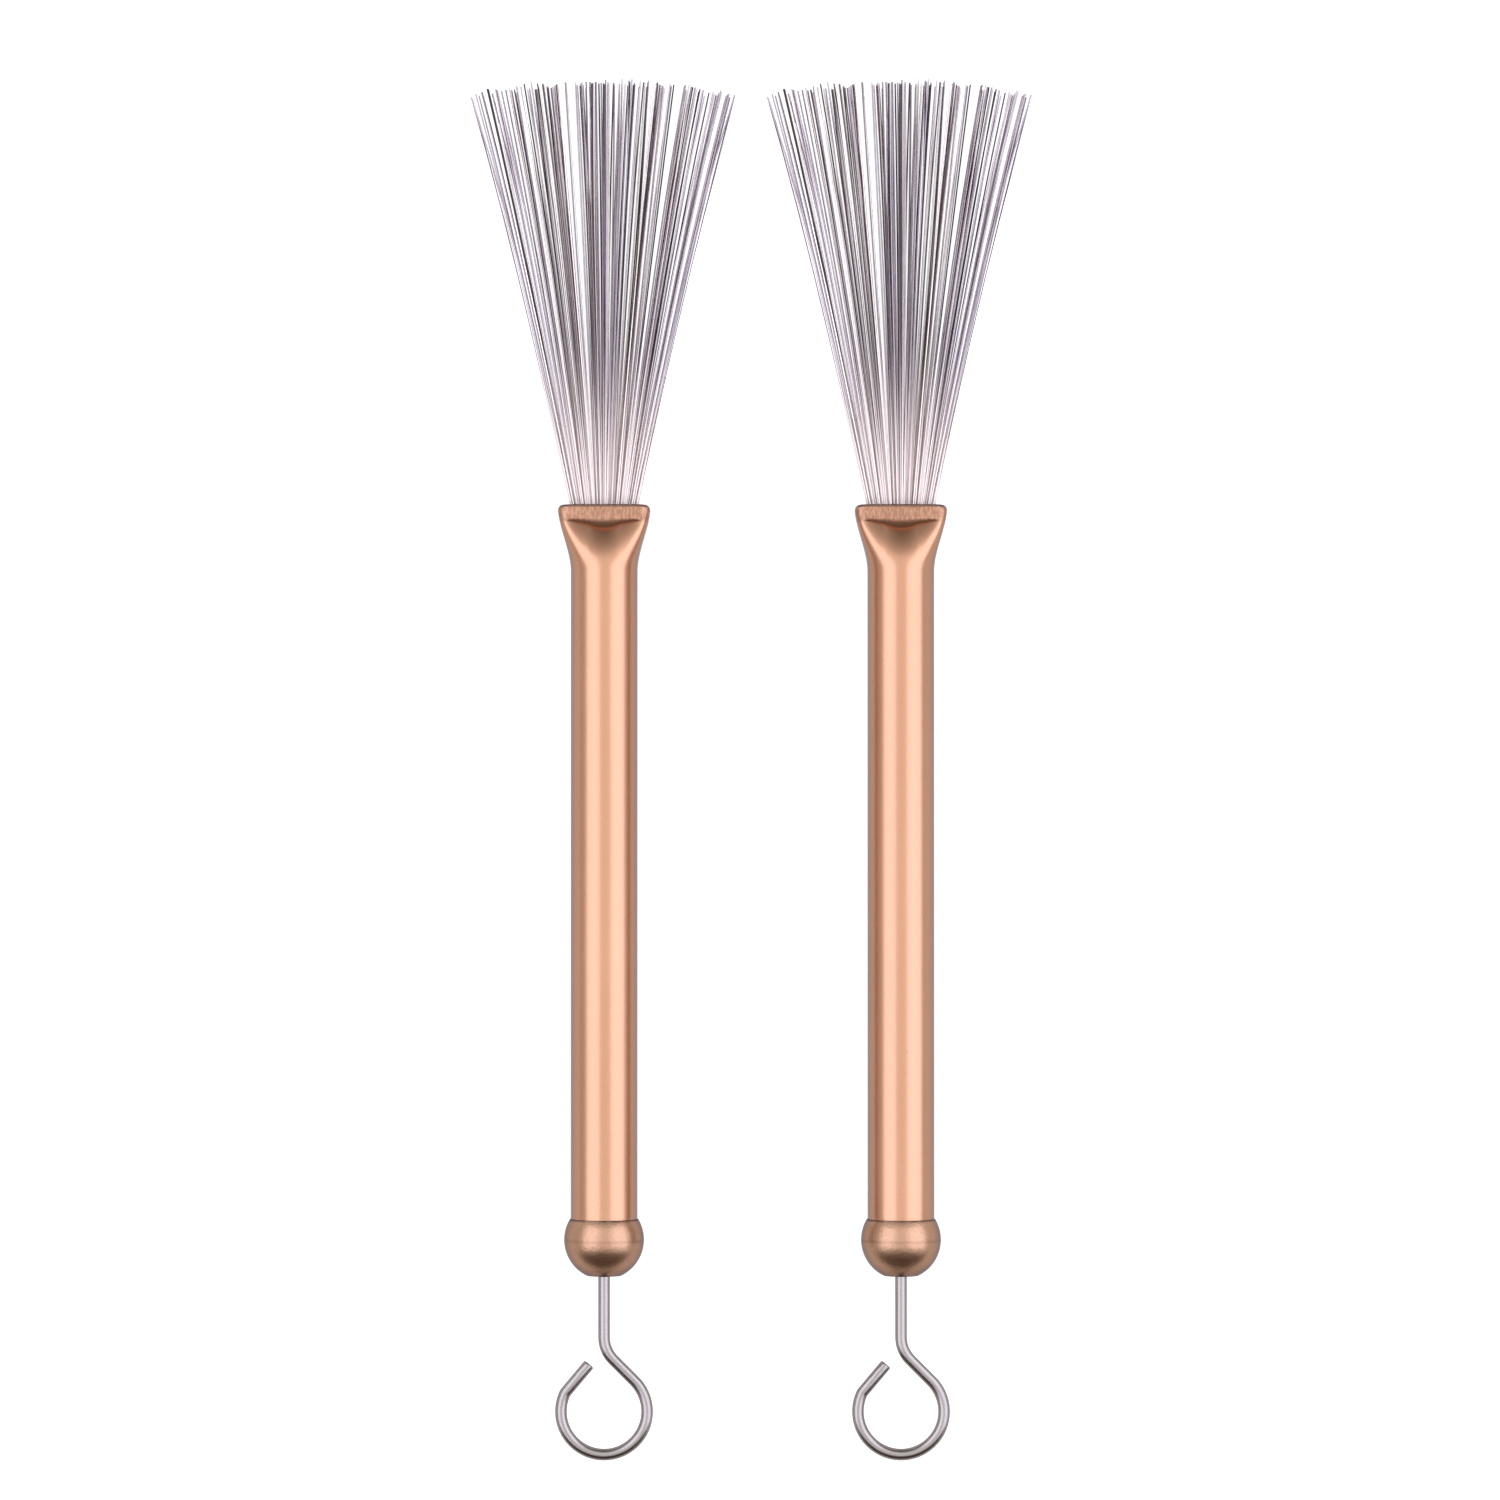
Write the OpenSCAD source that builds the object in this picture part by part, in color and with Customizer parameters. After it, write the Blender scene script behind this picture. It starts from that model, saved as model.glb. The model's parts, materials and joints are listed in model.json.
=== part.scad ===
// A pair of retractable wire brushes for drums. Each one is a metal tube with a flattened mouth,
// a fan of spring wires on a slider inside it, and a pull rod that comes out of the tail knob
// and ends in a hanging loop. Both lie side by side on a table, with the wires drawn out.
// Depths are measured back from the mouth's rim, along the brush's own axis.

/* [Handle tube] */
// Outside diameter of the tube
tube_d = 16; // [14:0.5:20]
// Wall of the tube
tube_wall = 1.1; // [0.8:0.1:1.4]
// Length of the tube, from the mouth's rim to the knob
handle_l = 170.7; // [150:0.1:210]
// Chamfer on the tube's tail edge
tail_chamfer = 0.3; // [0.1:0.1:0.5]

/* [Mouth] */
// Width of the flattened mouth
mouth_w = 22.2; // [19:0.1:27]
// Thickness of the flattened mouth
mouth_t = 10; // [9:0.5:12]
// Length over which the tube flattens
flare_l = 16; // [14:0.5:22]
// Length of the flat band behind the rim
band_l = 3.2; // [2:0.2:4]
// Rounding of the rim's corners
rim_r = 1.4; // [1:0.1:1.6]
// How far the rim's edge is rolled in above and below
rim_roll = 0.4; // [0.2:0.1:0.5]
// Depth of the pressed scoop behind the band, at the middle
scoop_t = 1.3; // [0.6:0.1:1.4]
// Squareness of the mouth's outline, where 2 is an ellipse
mouth_power = 6; // [3:1:8]
// Least gap between the outer wires and the mouth, which widens where they need more room
mouth_gap = 0.3; // [0.1:0.1:0.6]

/* [Knob] */
// Diameter of the ball-shaped knob
knob_d = 19.12; // [17:0.02:24]
// How far the ball's centre lies behind the tube
knob_set = 5; // [4:0.5:6]
// Length of the knob behind the tube, to its flat tail
knob_l = 13.6; // [12:0.2:14.5]
// Length of the knob's spigot inside the tube
spigot_l = 15; // [8:0.5:18]

/* [Bush and bumper] */
// Wall of the nylon guide bush
bush_wall = 1.1; // [0.8:0.1:1.5]
// Width of the bush's flange beyond its sleeve
flange_w = 2.2; // [1:0.1:2.4]
// Thickness of the bush's flange
flange_t = 1.2; // [0.8:0.1:2]
// Thickness of the solid tail wall behind the bush
knob_web = 2; // [1:0.5:3]
// Thickness of the rubber bumper
bumper_t = 3.5; // [2:0.5:5]

/* [Pull rod] */
// Diameter of the rod
rod_d = 2.8; // [2:0.1:3.2]
// Straight rod from the knob to the corner where the loop's neck turns off
neck_set = 17.9; // [14:0.1:30]
// Centreline radius of the hanging loop
loop_r = 10.3; // [8.6:0.1:14]
// Angle between the rod and the loop's neck
neck_turn = 45; // [40:1:50]
// Centreline radius of the neck's bend
bend_r = 7.8; // [5:0.1:9]
// How far the loop runs round
loop_sweep = 248; // [240:1:260]
// Centreline radius of the last bend, before the loop's straight end
end_bend_r = 3; // [2:0.5:4]
// Angle of that last bend
end_turn = 17; // [5:1:20]
// Length of the loop's straight end
end_l = 8.5; // [6:0.5:9.5]

/* [Slider] */
// Length of the nylon slider
slider_l = 30; // [24:0.5:36]
// Depth of the slider's turned waist
waist_t = 1.2; // [0.5:0.1:1.5]
// How far the slider's nose stands inside the flare
nose_lead = 1; // [0:0.5:1]
// Thickness of each rubber ring
ring_d = 1.6; // [1.2:0.1:2]
// How deep a ring is pressed into its groove
ring_squeeze = 0.05; // [0.02:0.01:0.1]
// Chamfer on the slider's nose
nose_chamfer = 0.5; // [0.3:0.1:0.8]
// Length of slider behind each groove, or before the rear one
ring_land = 3; // [2:0.5:4]
// Outside diameter of the lock washer
washer_d = 8; // [6:0.5:10]
// Thickness of the lock washer
washer_t = 0.6; // [0.4:0.1:1]

/* [Wire fan] */
// Diameter of one wire
wire_d = 0.35; // [0.25:0.01:0.38]
// Free length of each wire
wire_l = 116.2; // [90:0.1:140]
// Wires from the middle of the widest row out to its end
columns = 12; // [8:1:12]
// Rows of wires above the middle row, and below it
rows = 4; // [2:1:4]
// Width of the bundle in the ferrule, between the outer wires' centres
bundle_w = 9.8; // [6:0.1:10]
// Thickness of the bundle in the ferrule, likewise
bundle_t = 3.1; // [2:0.1:3.4]
// Width of the fan at its tips
fan_w = 64.4; // [40:0.1:80]
// Thickness of the fan at its tips
fan_t = 4.8; // [3.6:0.1:12.8]
// Length of wire held inside the ferrule
wire_grip = 0.6; // [0.4:0.1:1]

/* [Ferrule] */
// Brass around the bundle
ferrule_wall = 0.9; // [0.6:0.1:1]
// Length of the ferrule's flattened head
head_l = 6; // [4:0.5:8]
// Diameter of the ferrule's round shank
shank_d = 6.4; // [5:0.1:7]
// Length of the shank
shank_l = 8; // [6:0.5:10]
// Length of rod inside the shank
rod_grip = 6; // [4:0.5:7]

/* [Pair and fits] */
// Gap between the two fans at their tips
fan_gap = 6.25; // [2:0.25:60]
// Clearance all round a piece that slides
running_fit = 0.05; // [0.02:0.01:0.08]
// Clearance all round a piece that is fixed in its seat
seat_fit = 0.02; // [0.01:0.01:0.05]
// How deep the lock washer bites into the rod
washer_bite = 0.05; // [0.02:0.01:0.1]

/* [Hidden] */

tube_r = tube_d / 2;
bore_r = tube_r - tube_wall;
knob_r = knob_d / 2;
rod_r = rod_d / 2;

// Depths along the axis.
anchor = flare_l - nose_lead;          // where the wires leave the ferrule, flush with the slider's nose
head_end = anchor + head_l;            // end of the ferrule's head
shank_end = head_end + shank_l;        // end of the ferrule's shank
slider_end = anchor + slider_l;        // back of the slider, where the lock washer sits
knob_centre = handle_l + knob_set;     // centre of the ball
knob_face = handle_l + knob_l;         // the knob's flat tail
spigot_face = handle_l - spigot_l;     // front of the knob's spigot
neck_corner = knob_face + neck_set;    // where the rod's line meets the neck's line
loop_centre = neck_corner + loop_r / sin(neck_turn);
reach = wire_l - anchor;               // how far the middle wires stand out of the mouth

// Radii that follow from what fits in what. The knob has a collar inside its ball that seats on the tube.
slider_r = bore_r - running_fit;
bush_bore_r = rod_r + running_fit;
bush_r = bush_bore_r + bush_wall;
ring_r = slider_r - ring_d / 2;        // centreline of a rubber ring
head_half_w = (bundle_w + wire_d) / 2 + ferrule_wall;
head_half_t = (bundle_t + wire_d) / 2 + ferrule_wall;

// Half size of the opening fan where it passes a depth, and the mouth that it needs.
fan_forward = sqrt(pow(wire_l, 2) - pow((fan_w - bundle_w) / 2, 2));
function fan_half(depth, bundle, fan) = (bundle + (fan - bundle) * (anchor - depth) / fan_forward + wire_d) / 2;
mouth_half_w = max(mouth_w / 2, fan_half(0, bundle_w, fan_w) + mouth_gap + rim_r + tube_wall / 2);
mouth_half_t = max(mouth_t / 2, fan_half(band_l, bundle_t, fan_t) + mouth_gap + scoop_t + tube_wall);

// A brush lies on its knob and on the round of its tube just behind the flare.
lie_angle = asin((knob_r - tube_r) / (knob_centre - flare_l));
axis_height = knob_r - knob_centre * sin(lie_angle);
brush_pitch = fan_w + wire_d + fan_gap;
loop_end = loop_centre + loop_r + rod_r;
centre_shift = (loop_end - reach) / 2;

// The mouth's skin is a stack of outlines, each a ring of points.
ring_points = 40;
flare_steps = 6;
buried = 0.06;                         // how far the skin's last rings lie inside the tube's wall
overlap = 2;                           // length of skin inside the tube's wall
crease_l = 0.5;
crease_end = band_l + crease_l;
skin_depths = concat(
    [0, 0.3 * rim_r, rim_r, band_l, crease_end],
    [for (k = [1:flare_steps]) crease_end + (flare_l - crease_end) * k / flare_steps],
    [flare_l + overlap / 2, flare_l + overlap]
);

// Lengths of rod meet inside a ball that is a hair fatter than the rod, so that they join soundly.
joint_over = 0.02;
joint_gap = 0.05;

$fn = 96;

// ---- Placing ----

// Lays a brush down on the table, on the side of the pair that is given as -1 or 1.
module lay_down(side)
    translate([side * brush_pitch / 2, centre_shift, axis_height])
        rotate([-lie_angle, 0, 0])
            children();

// A round bar along the axis, from one depth to a greater one.
module bar(r, from, to)
    translate([0, -to, 0])
        rotate([-90, 0, 0])
            cylinder(h = to - from, r = r);

// An oblong bar, with round ends across its width.
module oblong_bar(half_w, half_t, from, to)
    translate([0, -from, 0])
        rotate([90, 0, 0])
            linear_extrude(to - from)
                union() {
                    square([2 * (half_w - half_t), 2 * half_t], center = true);
                    for (side = [-1, 1])
                        translate([side * (half_w - half_t), 0])
                            circle(half_t);
                }

// A small ball that closes the joint between two lengths of rod.
module rod_joint()
    sphere(rod_r + joint_over);

// A straight length of rod along +X. What follows it is carried to its end.
module rod_run(l) {
    rod_joint();
    rotate([0, 90, 0])
        cylinder(h = l, r = rod_r);
    translate([l, 0, 0])
        children();
}

// A bend that starts along +X and turns left, or right where the turn is negative.
module rod_bend(r, turn) {
    side = sign(turn);
    trim = joint_gap / r * 180 / PI;
    rod_joint();
    translate([0, side * r, 0]) {
        rotate([0, 0, (side > 0 ? -90 : 90 + turn) + trim])
            rotate_extrude(angle = abs(turn) - 2 * trim)
                translate([r, 0])
                    circle(rod_r);
        rotate([0, 0, turn])
            translate([0, -side * r, 0])
                children();
    }
}

// ---- Shape of the mouth ----

function smooth(t) = let (u = min(max(t, 0), 1)) u * u * (3 - 2 * u);

// How far the tube has turned into the mouth at a depth: 1 at the rim, 0 where it is round.
function flattened(depth) = smooth(1 - depth / flare_l);

// How much smaller the outline is within the rounding of the rim.
function rounding(depth, r, roll) = let (u = max(1 - depth / r, 0)) roll * (1 - sqrt(1 - u * u));

function half_width(depth) =
    tube_r + (mouth_half_w - tube_r) * flattened(depth) - rounding(depth, rim_r, rim_r);

function half_thickness(depth) =
    tube_r + (mouth_half_t - tube_r) * flattened(depth) - rounding(depth, rim_r, rim_roll);

// Depth of the pressed scoop at a depth behind the rim and a place across the mouth.
function scoop(depth, x) =
    depth <= band_l ? 0 :
    let (
        half_band = mouth_half_w - 2 * rim_r,
        along = smooth(1 - (depth - crease_end) / (flare_l - crease_end)),
        across = 0.55 * smooth(4 * (1 - abs(x) / half_band)) + 0.45 * smooth(1 - 2 * abs(x) / half_band)
    )
    scoop_t * along * across;

// Distance from the axis to a squared ellipse, in a direction.
function outline(angle, half_w, half_t, power) =
    pow(pow(abs(cos(angle)) / half_w, power) + pow(abs(sin(angle)) / half_t, power), -1 / power);

// One ring of the skin, at a depth, drawn in by an inset from the outer surface.
function skin_ring(depth, inset) = [
    for (i = [0:ring_points - 1])
        let (
            angle = 360 * i / ring_points,
            power = 2 + (mouth_power - 2) * flattened(depth),
            r = outline(angle, half_width(depth) - inset, half_thickness(depth) - inset, power),
            x = r * cos(angle),
            z = r * sin(angle)
        )
        [x, -depth, z - sign(z) * scoop(depth, x)]
];

// The wall is thinner at the rim, where its edge is rolled in.
function wall_at(depth) = tube_wall - buried - rounding(depth, rim_r, 0.5 * tube_wall);

// The flattened mouth, as one closed skin: outer rings from the rim back, then inner rings forward.
module mouth_skin() {
    count = len(skin_depths);
    rings = concat(
        [for (k = [0:count - 1]) skin_ring(skin_depths[k], buried * (1 - flattened(skin_depths[k])))],
        [for (k = [count - 1:-1:0]) skin_ring(skin_depths[k], wall_at(skin_depths[k]))]
    );
    total = len(rings);
    polyhedron(
        points = [for (ring = rings) for (p = ring) p],
        faces = [
            for (k = [0:total - 1]) for (i = [0:ring_points - 1])
                let (
                    next_k = (k + 1) % total,
                    next_i = (i + 1) % ring_points,
                    a = k * ring_points + i,
                    b = k * ring_points + next_i,
                    c = next_k * ring_points + next_i,
                    d = next_k * ring_points + i
                )
                for (face = [[a, c, b], [a, d, c]]) face
        ]
    );
}

// ---- Handle ----

module handle_tube()
    color([0.80, 0.56, 0.42])
        union() {
            mouth_skin();
            difference() {
                union() {
                    bar(tube_r, flare_l + overlap / 2, handle_l - tail_chamfer);
                    translate([0, -handle_l, 0])
                        rotate([-90, 0, 0])
                            cylinder(h = tail_chamfer, r1 = tube_r - tail_chamfer, r2 = tube_r);
                }
                bar(bore_r, flare_l, handle_l + 1);
            }
        }

module end_knob()
    color([0.70, 0.47, 0.36])
        difference() {
            union() {
                intersection() {
                    translate([0, -knob_centre, 0])
                        rotate([-90, 0, 0])
                            sphere(knob_r);
                    bar(knob_r + 1, handle_l, knob_face);
                }
                bar(tube_r - tail_chamfer, handle_l, knob_centre);
                bar(bore_r - seat_fit, spigot_face, handle_l + 1);
            }
            bar(bush_r + seat_fit, spigot_face - 1, knob_face - knob_web);
            bar(bush_bore_r, spigot_face, knob_face + 1);
        }

module guide_bush()
    color([0.92, 0.90, 0.85])
        difference() {
            union() {
                bar(bush_r + flange_w, spigot_face - flange_t, spigot_face);
                bar(bush_r, spigot_face - flange_t, knob_face - knob_web);
            }
            bar(bush_bore_r, spigot_face - flange_t - 1, knob_face);
        }

module end_bumper()
    color([0.12, 0.12, 0.12])
        difference() {
            bar(bush_r + flange_w, spigot_face - flange_t - bumper_t, spigot_face - flange_t);
            bar(bush_bore_r + running_fit, spigot_face - flange_t - bumper_t - 1, spigot_face);
        }

// ---- Pull rod ----

module pull_rod()
    color([0.72, 0.71, 0.74]) {
        bend_run = bend_r * tan(neck_turn / 2);
        bend_from = neck_corner - bend_run;
        bar(rod_r, shank_end - rod_grip, bend_from);
        translate([0, -bend_from, 0])
            rotate([0, 0, -90])
                rod_bend(bend_r, neck_turn)
                    rod_run(loop_r / tan(neck_turn) - bend_run)
                        rod_bend(loop_r, -loop_sweep)
                            rod_bend(end_bend_r, -end_turn)
                                rod_run(end_l);
    }

// ---- Slider ----

// Depths of the middles of the two ring grooves.
ring_depths = [head_end + ring_land, slider_end - ring_land - ring_d / 2];

module slider()
    color([0.90, 0.89, 0.86])
        difference() {
            union() {
                bar(slider_r, anchor + nose_chamfer, slider_end);
                translate([0, -anchor - nose_chamfer, 0])
                    rotate([-90, 0, 0])
                        cylinder(h = nose_chamfer, r1 = slider_r, r2 = slider_r - nose_chamfer);
            }
            oblong_bar(head_half_w + seat_fit, head_half_t + seat_fit, anchor - 1, head_end);
            bar(shank_d / 2 + seat_fit, anchor, shank_end);
            bar(rod_r + seat_fit, anchor, slider_end + 1);
            for (depth = ring_depths)
                ring_cut(depth, ring_r - ring_d / 2 + ring_squeeze, ring_d / 2 + running_fit);
            ring_cut(
                (ring_depths[0] + ring_depths[1]) / 2,
                slider_r - waist_t,
                (ring_depths[1] - ring_depths[0] - ring_d) / 2 - ring_land
            );
        }

// A groove round the slider: its middle, the radius of its floor, and half its width.
module ring_cut(depth, floor_r, half_l)
    difference() {
        bar(slider_r + 1, depth - half_l, depth + half_l);
        bar(floor_r, depth - half_l - 1, depth + half_l + 1);
    }

module slider_rings()
    color([0.10, 0.10, 0.10])
        for (depth = ring_depths)
            translate([0, -depth, 0])
                rotate([90, 0, 0])
                    rotate_extrude()
                        translate([ring_r, 0])
                            circle(ring_d / 2);

module lock_washer()
    color([0.60, 0.60, 0.62])
        difference() {
            bar(washer_d / 2, slider_end, slider_end + washer_t);
            bar(rod_r - washer_bite, slider_end - 1, slider_end + washer_t + 1);
        }

module crimp_ferrule()
    color([0.78, 0.64, 0.34])
        difference() {
            union() {
                oblong_bar(head_half_w, head_half_t, anchor, head_end);
                bar(shank_d / 2, head_end - 1, shank_end);
            }
            bar(rod_r + seat_fit, shank_end - rod_grip, shank_end + 1);
        }

// ---- Wires ----

// The wires leave the ferrule in staggered rows within an ellipse.
wire_seats = [
    for (j = [-rows:rows]) for (i = [-columns:columns])
        let (across = (i + (j % 2 == 0 ? 0 : 0.5)) / columns, up = j / rows)
        if (pow(across, 2) + pow(up, 2) <= 1.02) [across * bundle_w / 2, up * bundle_t / 2]
];

// One straight wire, from its seat towards its place in the fan's tip.
module wire(seat) {
    side = seat[0] * (fan_w / bundle_w - 1);
    rise = seat[1] * (fan_t / bundle_t - 1);
    forward = sqrt(wire_l * wire_l - side * side - rise * rise);
    translate([seat[0], -anchor, seat[1]])
        rotate([0, acos(rise / wire_l), atan2(forward, side)])
            translate([0, 0, -wire_grip])
                cylinder(h = wire_l + wire_grip, r = wire_d / 2, $fn = 24);
}

module wires()
    color([0.74, 0.72, 0.76])
        for (seat = wire_seats)
            wire(seat);

// ---- The pair ----

lay_down(-1) handle_tube();  // left_handle_tube
lay_down(-1) end_knob();  // left_end_knob
lay_down(-1) guide_bush();  // left_guide_bush
lay_down(-1) end_bumper();  // left_end_bumper
lay_down(-1) pull_rod();  // left_pull_rod
lay_down(-1) slider();  // left_slider
lay_down(-1) slider_rings();  // left_slider_rings
lay_down(-1) lock_washer();  // left_lock_washer
lay_down(-1) crimp_ferrule();  // left_crimp_ferrule
lay_down(-1) wires();  // left_wires
lay_down(1) handle_tube();  // right_handle_tube
lay_down(1) end_knob();  // right_end_knob
lay_down(1) guide_bush();  // right_guide_bush
lay_down(1) end_bumper();  // right_end_bumper
lay_down(1) pull_rod();  // right_pull_rod
lay_down(1) slider();  // right_slider
lay_down(1) slider_rings();  // right_slider_rings
lay_down(1) lock_washer();  // right_lock_washer
lay_down(1) crimp_ferrule();  // right_crimp_ferrule
lay_down(1) wires();  // right_wires
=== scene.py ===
import json
import math
import random

import bpy
from mathutils import Matrix, Vector


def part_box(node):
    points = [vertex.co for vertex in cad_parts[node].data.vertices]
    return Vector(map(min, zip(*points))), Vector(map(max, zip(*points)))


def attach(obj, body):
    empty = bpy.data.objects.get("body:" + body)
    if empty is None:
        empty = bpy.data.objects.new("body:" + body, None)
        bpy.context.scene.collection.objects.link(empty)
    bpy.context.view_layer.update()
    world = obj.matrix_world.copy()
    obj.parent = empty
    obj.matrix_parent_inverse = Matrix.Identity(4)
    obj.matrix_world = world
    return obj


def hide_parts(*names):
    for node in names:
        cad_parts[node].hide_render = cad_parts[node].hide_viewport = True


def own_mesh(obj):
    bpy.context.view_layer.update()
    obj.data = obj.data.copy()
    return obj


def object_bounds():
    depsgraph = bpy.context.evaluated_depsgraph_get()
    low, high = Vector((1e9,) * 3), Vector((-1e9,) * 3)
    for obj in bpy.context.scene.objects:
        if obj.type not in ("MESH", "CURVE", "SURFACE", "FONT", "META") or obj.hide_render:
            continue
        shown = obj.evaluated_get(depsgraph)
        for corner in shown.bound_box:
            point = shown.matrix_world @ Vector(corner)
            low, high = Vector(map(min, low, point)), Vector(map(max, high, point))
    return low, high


# A pair of retractable wire brushes on a white table, seen from straight above.
# Each piece is modelled once in millimetres, along its brush's own axis: +Y points at the wires' tips,
# and 0 is the mouth's rim. It is then copied to the left and to the right brush.

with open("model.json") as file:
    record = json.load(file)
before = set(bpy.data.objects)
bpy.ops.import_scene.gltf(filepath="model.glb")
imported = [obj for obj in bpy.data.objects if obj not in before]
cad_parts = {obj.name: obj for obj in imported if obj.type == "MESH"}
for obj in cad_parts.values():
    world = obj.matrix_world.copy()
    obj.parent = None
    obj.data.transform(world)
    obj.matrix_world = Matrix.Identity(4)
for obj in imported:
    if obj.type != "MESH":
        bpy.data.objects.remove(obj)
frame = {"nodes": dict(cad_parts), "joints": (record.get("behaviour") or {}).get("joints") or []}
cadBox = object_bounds()
sides = ("left", "right")
print("frame loaded")


# Where the brushes lie.

pair = {
    "washerDepth": 45.3,     # from the mouth's rim back to the middle of the lock washer
    "millimetre": 0.001,
}


def slideOf(side):
    return next(joint for joint in frame["joints"] if joint["name"] == side + "_rod_slide")


def brushPlace(side):
    low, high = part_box(side + "_lock_washer")
    tailward = Vector(slideOf(side)["axis"]).normalized()
    rim = (low + high) / 2 - tailward * pair["washerDepth"] * pair["millimetre"]
    lie = Matrix.Rotation(-math.asin(tailward.z), 4, "X")
    return Matrix.Translation(rim) @ lie @ Matrix.Scale(pair["millimetre"], 4)


# Small helpers for modelling.

def clearSelection():
    if bpy.context.object and bpy.context.object.mode != "OBJECT":
        bpy.ops.object.mode_set(mode="OBJECT")
    bpy.ops.object.select_all(action="DESELECT")


def choose(piece):
    clearSelection()
    piece.select_set(True)
    bpy.context.view_layer.objects.active = piece


def startPiece(name):
    piece = bpy.context.object
    piece.name = piece.data.name = name
    bpy.ops.object.transform_apply(location=True, rotation=True, scale=True)
    return piece


def editMode():
    bpy.ops.object.mode_set(mode="EDIT")
    bpy.ops.mesh.select_mode(type="FACE")
    bpy.ops.mesh.select_all(action="DESELECT")


def objectMode():
    bpy.ops.object.mode_set(mode="OBJECT")


def cutAcross(depth, clear=""):
    bpy.ops.mesh.select_all(action="SELECT")
    bpy.ops.mesh.bisect(
        plane_co=(0, -depth, 0), plane_no=(0, 1, 0),
        use_fill=bool(clear), clear_outer=clear == "front", clear_inner=clear == "back",
    )


def pickFaces(piece, wanted):
    # Selects the faces that a rule accepts, and nothing else.
    bpy.ops.mesh.select_all(action="DESELECT")
    objectMode()
    for face in piece.data.polygons:
        face.select = bool(wanted(face))
    bpy.ops.object.mode_set(mode="EDIT")


def applyModifier(piece, kind, **settings):
    modifier = piece.modifiers.new(kind.title(), kind)
    for name, value in settings.items():
        setattr(modifier, name, value)
    bpy.context.view_layer.objects.active = piece
    bpy.ops.object.modifier_apply(modifier=modifier.name)


def bevelSharp(piece, width, segments, degrees):
    # Rounds the edges that turn by more than so many degrees.
    applyModifier(
        piece, "BEVEL", width=width, segments=segments,
        limit_method="ANGLE", angle_limit=math.radians(degrees),
    )


def faceOutward(piece):
    choose(piece)
    bpy.ops.object.mode_set(mode="EDIT")
    bpy.ops.mesh.select_all(action="SELECT")
    bpy.ops.mesh.remove_doubles(threshold=0.0005)
    bpy.ops.mesh.normals_make_consistent(inside=False)
    objectMode()


def smoothFaces(piece, degrees):
    choose(piece)
    bpy.ops.object.shade_smooth_by_angle(angle=math.radians(degrees))


def giveAttribute(piece, name, rule):
    # A number at each point, worked out from its place in the brush, for a pattern that follows the shape.
    layer = piece.data.attributes.new(name, "FLOAT", "POINT")
    for point in piece.data.vertices:
        layer.data[point.index].value = rule(point.co)


def setOut(master, name, node, material, body):
    # Places a copy of a finished piece on each brush.
    made = {}
    for side in sides:
        piece = master.copy()
        piece.data = master.data.copy()
        piece.name = piece.data.name = side + name
        bpy.context.scene.collection.objects.link(piece)
        piece.data.transform(brushPlace(side))
        piece.data.materials.clear()
        piece.data.materials.append(material)
        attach(piece, side + body)
        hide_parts(side + node)
        made[side] = piece
    bpy.data.objects.remove(master)
    print("piece", name)
    return made


def smooth(t):
    u = min(max(t, 0), 1)
    return u * u * (3 - 2 * u)


def blendTo(first, second, share):
    return first + (second - first) * share


# Materials.

class Value:
    # A number or a vector on its way between a material's nodes.
    def __init__(self, finish, socket):
        self.finish = finish
        self.socket = socket

    def sum(self, operation, first, second):  # any sum of two numbers
        return self.finish.node("Math", {"operation": operation}, {0: first, 1: second})

    def __add__(self, other):
        return self.sum("ADD", self, other)

    def __sub__(self, other):
        return self.sum("SUBTRACT", self, other)

    def __rsub__(self, other):
        return self.sum("SUBTRACT", other, self)

    def __mul__(self, other):
        return self.sum("MULTIPLY", self, other)

    __radd__ = __add__
    __rmul__ = __mul__


class Finish:
    # A material: what is the same all over is set at once, and what varies is fed in.
    def __init__(self, name, **same):
        self.material = bpy.data.materials.new(name)
        self.material.use_nodes = True
        self.nodes = self.material.node_tree.nodes
        self.links = self.material.node_tree.links
        self.shader = next(n for n in self.nodes if n.type == "BSDF_PRINCIPLED")
        for socket, value in same.items():
            self.shader.inputs[socket.replace("_", " ")].default_value = value

    def node(self, kind, settings=None, inputs=None, output=0):
        made = self.nodes.new("ShaderNode" + kind)
        for name, value in (settings or {}).items():
            if name == "stops":
                self.setStops(made.color_ramp, value)
            else:
                setattr(made, name, value)
        for name, value in (inputs or {}).items():
            if isinstance(value, Value):
                self.links.new(value.socket, made.inputs[name])
            else:
                made.inputs[name].default_value = value
        return Value(self, made.outputs[output])

    def setStops(self, ramp, stops):
        while len(ramp.elements) < len(stops):
            ramp.elements.new(1.0)
        for element, (place, colour) in zip(ramp.elements, stops):
            element.position = place
            element.color = (*colour, 1)

    def feed(self, socket, value):
        self.links.new(value.socket, self.shader.inputs[socket])

    def place(self, stretch=(1, 1, 1)):
        spot = self.node("TexCoord", output="Object")
        return self.node("Mapping", {}, {"Vector": spot, "Scale": stretch})

    def noise(self, scale, stretch=(1, 1, 1), detail=2.0):
        return self.node("TexNoise", {}, {"Vector": self.place(stretch), "Scale": scale, "Detail": detail})

    def attribute(self, name):
        return self.node("Attribute", {"attribute_name": name}, output="Fac")

    def ramp(self, value, *stops):
        return self.node("ValToRGB", {"stops": stops}, {"Fac": value})

    def step(self, value, start, end):
        # 0 below start and 1 above end.
        soft = {"interpolation_type": "SMOOTHSTEP"}
        return self.node("MapRange", soft, {"Value": value, "From Min": start, "From Max": end})

    def mix(self, share, first, second):
        return self.node("Mix", {"data_type": "RGBA"}, {0: share, 6: first, 7: second}, 2)

    def bump(self, height, distance):
        return self.node("Bump", {}, {"Height": height, "Distance": distance}, "Normal")


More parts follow.
